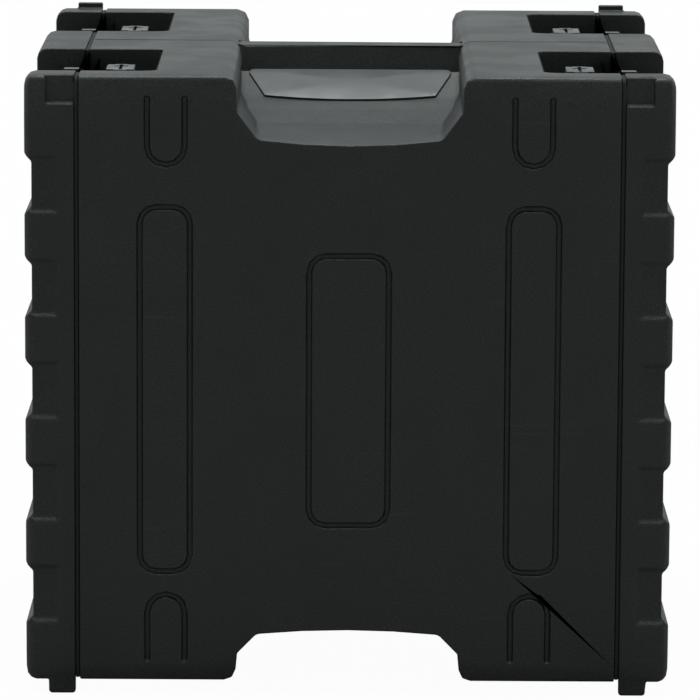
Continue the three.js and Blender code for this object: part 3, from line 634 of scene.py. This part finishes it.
class RACKCASE_OT_grips(bpy.types.Operator):
    """Build the crowned grip that lies on each handle bar."""

    bl_idname = "rack_case.grips"
    bl_label = "Handle grips"

    def execute(self, context):
        crown = context.scene.rack_case_sizes.tread_crown
        thickness, rim_height = 1.5 * MM, 0.7 * MM
        run, rise = 47 * MM, 24 * MM
        length = math.hypot(run, rise)
        for side, sign in SIDES.items():
            low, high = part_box(f"{side}_handle_grip")
            outline = tread_outline(high.x, 84 * MM, length, 46 * MM, 5 * MM, 6.8 * MM)
            turn = np.linspace(0, np.pi / 2, 5)
            rim = np.stack([1 - 0.02 * (1 - np.cos(turn)), rim_height * (np.sin(turn) - 1)], axis=1)
            share = np.linspace(0.95, 0.05, 9)
            dome = np.stack([share, crown * (1 - share**2)], axis=1)
            under = np.array([[0.2, -thickness], [0.995, -thickness], [1.0, -thickness + 0.3 * MM]])
            profile = np.vstack([under, rim, dome])
            vertices, quads, caps = plate_surface(outline, profile)
            slope = np.array([0, -sign * run, rise]) / length
            across = np.array([-sign, 0, 0.0])
            up = np.cross(across, slope)
            outer = high.y if sign > 0 else low.y
            moved = placed(vertices, [0, outer, high.z - rise], across, up)
            mesh = build_mesh(f"{side}_grip", moved, quads, caps)
            piece = link(f"crowned_{side}_grip", mesh, "case", [finish("satin_grip")])
            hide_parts(f"{side}_handle_grip")
        return {"FINISHED"}


class RACKCASE_OT_parting_line(bpy.types.Operator):
    """Build the fine line that the mould's halves leave across the top, over the crest."""

    bl_idname = "rack_case.parting_line"
    bl_label = "Parting line"

    def execute(self, context):
        size = context.scene.rack_case_sizes.parting_bead
        low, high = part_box("case_shell")
        end = high.x - 2 * MM
        shoulder, crest = 120 * MM, 112 * MM
        places = np.array([-end, -shoulder, -crest, crest, shoulder, end])
        drops = np.array([0, 0, 3.5, 3.5, 0, 0]) * MM
        mesh = bead(places, high.z - drops, 1.6 * size, size)
        link("parting_line", mesh, "case", [finish("moulded_plastic")])
        return {"FINISHED"}


def bead(places, heights, half_width, height):
    """
    A bead swept along X through places at heights: each ring is (w cos t, h sin t) with its
    lower half pressed flat below the surface. Both ends close on a pole.
    """
    turn = np.linspace(0, 2 * np.pi, 12, endpoint=False)
    lift = np.where(np.sin(turn) > 0, height * np.sin(turn), height * 0.8 * np.sin(turn))
    rings = np.empty((len(places), len(turn), 3))
    rings[..., 0] = places[:, None]
    rings[..., 1] = half_width * np.cos(turn)
    rings[..., 2] = heights[:, None] + lift
    count = len(turn)
    start = np.arange(count)
    after = (start + 1) % count
    base, last = len(places) * count, (len(places) - 1) * count
    poles = np.array([[places[0], 0, heights[0]], [places[-1], 0, heights[-1]]])
    caps = [
        np.stack([after, start, np.full(count, base)], axis=1),
        np.stack([last + start, last + after, np.full(count, base + 1)], axis=1),
    ]
    vertices = np.vstack([rings.reshape(-1, 3), poles])
    return build_mesh("parting_line", vertices, grid_faces(len(places), count), caps)


class RACKCASE_OT_seals(bpy.types.Operator):
    """Round the two seals in the seams."""

    bl_idname = "rack_case.seals"
    bl_label = "Seals"

    def execute(self, context):
        for end in ENDS:
            rounded_copy(
                f"{end}_gasket",
                f"soft_{end}_gasket",
                f"{end}_lid",
                finish("seal_rubber"),
                0.8 * MM,
                2,
            )
        return {"FINISHED"}


class RACKCASE_OT_rails(bpy.types.Operator):
    """Build the folded rack rails and the screws that hold them."""

    bl_idname = "rack_case.rails"
    bl_label = "Rack rails"

    def execute(self, context):
        sizes = context.scene.rack_case_sizes
        for end in ENDS:
            for side, sign in SIDES.items():
                node = f"{end}_{side}_rack_rail"
                rounded_copy(
                    node,
                    f"folded_{node}",
                    "case",
                    finish("rail_paint"),
                    sizes.steel_rounding,
                    2,
                )
                low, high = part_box(node)
                leg = high.y - 2 * MM if sign > 0 else low.y + 2 * MM
                middle = (low.z + high.z) / 2
                reach = 26 * MM
                x = high.x - reach if ENDS[end] > 0 else low.x + reach
                washer = circle_outline(sizes.screw_radius * 1.35, 24)
                head = circle_outline(sizes.screw_radius, 24)
                parts = []
                for height in (-190, -64, 64, 190):
                    place = [x, leg, middle + height * MM]
                    axis = [0, -sign, 0]
                    for outline, profile in ((washer, WASHER), (head, PAN_HEAD)):
                        shape, quads, caps = plate_surface(outline, profile)
                        parts.append((placed(shape, place, [1, 0, 0], axis), quads, caps))
                mesh = joined_mesh(f"{node}_screws", parts)
                link(f"{node}_screws", mesh, "case", [finish("rivet_steel")])
        return {"FINISHED"}


WASHER = np.array([[0.5, 0.0], [1.0, 0.0], [1.0, 0.8 * MM], [0.96, 1.0 * MM], [0.5, 1.0 * MM]])
PAN_HEAD = np.array(
    [
        [0.5, 0.8 * MM],
        [1.0, 0.8 * MM],
        [1.0, 2.2 * MM],
        [0.93, 3.0 * MM],
        [0.75, 3.5 * MM],
        [0.42, 3.7 * MM],
        [0.38, 2.4 * MM],
        [0.05, 2.2 * MM],
    ]
)


def rivet_profile(height):
    """A domed head: share of the radius cos(t), height h sin(t), over a thin skirt."""
    turn = np.linspace(0, np.pi / 2 * 0.96, 7)
    dome = np.stack([np.cos(turn), height * (0.15 + 0.85 * np.sin(turn))], axis=1)
    return np.vstack([[[0.6, -0.2 * MM], [1.0, -0.2 * MM]], dome])


def latch_body(label, part):
    body = LATCH_PARTS[part]
    if body == "case":
        return "case"
    if body == "lid":
        return f"{label.split('_')[1]}_lid"
    return f"{label}_{body}"


class RACKCASE_OT_latches(bpy.types.Operator):
    """Build the eight latches: plates, rotors, wings, hooks, keepers and their rivets."""

    bl_idname = "rack_case.latches"
    bl_label = "Latches"

    def execute(self, context):
        sizes = context.scene.rack_case_sizes
        coating = finish("latch_coating")
        for label in LATCHES:
            for part in LATCH_PARTS:
                rounded_copy(
                    f"{label}_{part}",
                    f"pressed_{label}_{part}",
                    latch_body(label, part),
                    coating,
                    sizes.steel_rounding,
                    2,
                )
            self.rivet(label, sizes.rivet_radius)
        return {"FINISHED"}

    def rivet(self, label, radius):
        """Four rivets through the plate's corners and two through the keeper's foot."""
        face, end, _side = label.split("_")
        outward, sign = FACES[face], ENDS[end]
        base = 2.3 * MM
        for part, body in (("latch_plate", "case"), ("latch_keeper", f"{end}_lid")):
            low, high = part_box(f"{label}_{part}")
            seat = (low.z if outward > 0 else high.z) + outward * base
            inner, outer = (low.x, high.x) if sign > 0 else (high.x, low.x)
            if part == "latch_plate":
                xs = (inner + sign * 2.6 * MM, outer - sign * 5 * MM)
                ys = (low.y + 4 * MM, high.y - 4 * MM)
            else:
                xs = (outer - sign * 4.5 * MM,)
                ys = (low.y + 4 * MM, high.y - 4 * MM)
            parts = []
            for x in xs:
                for y in ys:
                    shape, quads, caps = plate_surface(
                        circle_outline(radius, 16), rivet_profile(1.2 * MM)
                    )
                    spot = placed(shape, [x, y, seat], [1, 0, 0], [0, 0, outward])
                    parts.append((spot, quads, caps))
            mesh = joined_mesh(f"{label}_{part}_rivets", parts)
            link(f"{label}_{part}_rivets", mesh, body, [finish("rivet_steel")])


# ---- Stage -------------------------------------------------------------------------------
class RACKCASE_OT_stage(bpy.types.Operator):
    """Lay the floor, set the soft light and point the camera."""

    bl_idname = "rack_case.stage"
    bl_label = "Stage"

    def execute(self, context):
        stage = context.scene.rack_case_stage
        self.floor()
        self.surround(context.scene, stage)
        self.overhead(context.scene, stage)
        self.camera(context.scene, stage)
        context.scene.view_settings.view_transform = "Standard"
        return {"FINISHED"}

    def floor(self):
        half = 40.0
        corners = np.array([[-half, -half, 0], [half, -half, 0], [half, half, 0], [-half, half, 0]])
        mesh = bpy.data.meshes.new("floor")
        mesh.from_pydata(corners.tolist(), [], [[0, 1, 2, 3]])
        floor = bpy.data.objects.new("floor", mesh)
        bpy.context.scene.collection.objects.link(floor)
        material, tree, shader, _place = new_material("pale_floor")
        shader.inputs["Base Color"].default_value = (0.3, 0.3, 0.3, 1)
        shader.inputs["Roughness"].default_value = 0.9
        shader.inputs["Specular IOR Level"].default_value = 0.0
        glow = add(tree, "ShaderNodeEmission", Color=(1, 1, 1, 1), Strength=1.04)
        seen = add(tree, "ShaderNodeLightPath").outputs["Is Camera Ray"]
        share = math_node(tree, "MULTIPLY", seen, 0.93)
        mix = add(tree, "ShaderNodeMixShader", _0=share, _1=shader.outputs[0], _2=glow.outputs[0])
        tree.links.new(mix.outputs[0], tree.nodes["Material Output"].inputs["Surface"])
        mesh.materials.append(material)

    def surround(self, scene, stage):
        """White behind the case for the camera; for light, dimmer in front than behind."""
        world = bpy.data.worlds.new("studio")
        world.use_nodes = True
        tree = world.node_tree
        tree.nodes.clear()
        toward = add(tree, "ShaderNodeTexCoord").outputs["Generated"]
        back = add(tree, "ShaderNodeSeparateXYZ", Vector=toward).outputs["Y"]
        level = spread(tree, back, -1.0, 1.0, stage.surround_front, stage.surround_back)
        light = add(tree, "ShaderNodeBackground", Color=(*LIGHT_COLOUR, 1), Strength=level)
        seen = add(tree, "ShaderNodeBackground", Color=(1, 1, 1, 1), Strength=1.0)
        camera = add(tree, "ShaderNodeLightPath").outputs["Is Camera Ray"]
        mix = add(tree, "ShaderNodeMixShader", _0=camera, _1=light.outputs[0], _2=seen.outputs[0])
        output = tree.nodes.new("ShaderNodeOutputWorld")
        tree.links.new(mix.outputs[0], output.inputs["Surface"])
        scene.world = world

    def overhead(self, scene, stage):
        """One broad soft light straight above, even over the whole floor."""
        lamp = bpy.data.lights.new("overhead", "SUN")
        lamp.energy = stage.overhead
        lamp.angle = math.radians(38)
        lamp.color = LIGHT_COLOUR
        light = bpy.data.objects.new("overhead", lamp)
        light.rotation_euler = (math.radians(-4), 0, 0)
        scene.collection.objects.link(light)

    def camera(self, scene, stage):
        low, high = Vector(CAD_BOX[0]), Vector(CAD_BOX[1])
        shell_low, shell_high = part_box("case_shell")
        middle = (shell_low.z + shell_high.z) / 2
        aim = Vector((1.2 * MM, low.y, middle + stage.aim_height))
        ahead = Vector((0, math.cos(stage.tilt), -math.sin(stage.tilt)))
        data = bpy.data.cameras.new("camera")
        data.lens = stage.focal_length
        data.sensor_width = 36
        data.clip_end = 200
        camera = bpy.data.objects.new("camera", data)
        camera.location = aim - ahead * stage.distance
        turn = ahead.to_track_quat("-Z", "Y")
        camera.rotation_euler = turn.to_euler()
        camera.rotation_euler.rotate_axis("Z", stage.roll)
        scene.collection.objects.link(camera)
        scene.camera = camera


class RACKCASE_PT_panel(bpy.types.Panel):
    """The rack case's settings and pieces."""

    bl_label = "Rack Case"
    bl_idname = "RACKCASE_PT_panel"
    bl_space_type = "VIEW_3D"
    bl_region_type = "UI"
    bl_category = "Rack Case"

    def draw(self, context):
        scene = context.scene
        for settings in (scene.rack_case_sizes, scene.rack_case_finishes, scene.rack_case_stage):
            box = self.layout.box()
            for name in settings.__annotations__:
                box.prop(settings, name)
        for operator in OPERATORS:
            self.layout.operator(operator.bl_idname)


OPERATORS = (
    RACKCASE_OT_mouldings,
    RACKCASE_OT_grips,
    RACKCASE_OT_parting_line,
    RACKCASE_OT_seals,
    RACKCASE_OT_rails,
    RACKCASE_OT_latches,
    RACKCASE_OT_stage,
)
SETTINGS = {
    "rack_case_sizes": RackCaseSizes,
    "rack_case_finishes": RackCaseFinishes,
    "rack_case_stage": RackCaseStage,
}


def register():
    for kind in (*SETTINGS.values(), *OPERATORS, RACKCASE_PT_panel):
        bpy.utils.register_class(kind)
    for name, kind in SETTINGS.items():
        setattr(bpy.types.Scene, name, bpy.props.PointerProperty(type=kind))


def unregister():
    for name in SETTINGS:
        delattr(bpy.types.Scene, name)
    for kind in (RACKCASE_PT_panel, *reversed(OPERATORS), *SETTINGS.values()):
        bpy.utils.unregister_class(kind)


def main():
    """Build every piece and the stage."""
    register()
    bpy.ops.rack_case.mouldings()
    bpy.ops.rack_case.grips()
    bpy.ops.rack_case.parting_line()
    bpy.ops.rack_case.seals()
    bpy.ops.rack_case.rails()
    bpy.ops.rack_case.latches()
    bpy.ops.rack_case.stage()


if __name__ == "__main__":
    main()
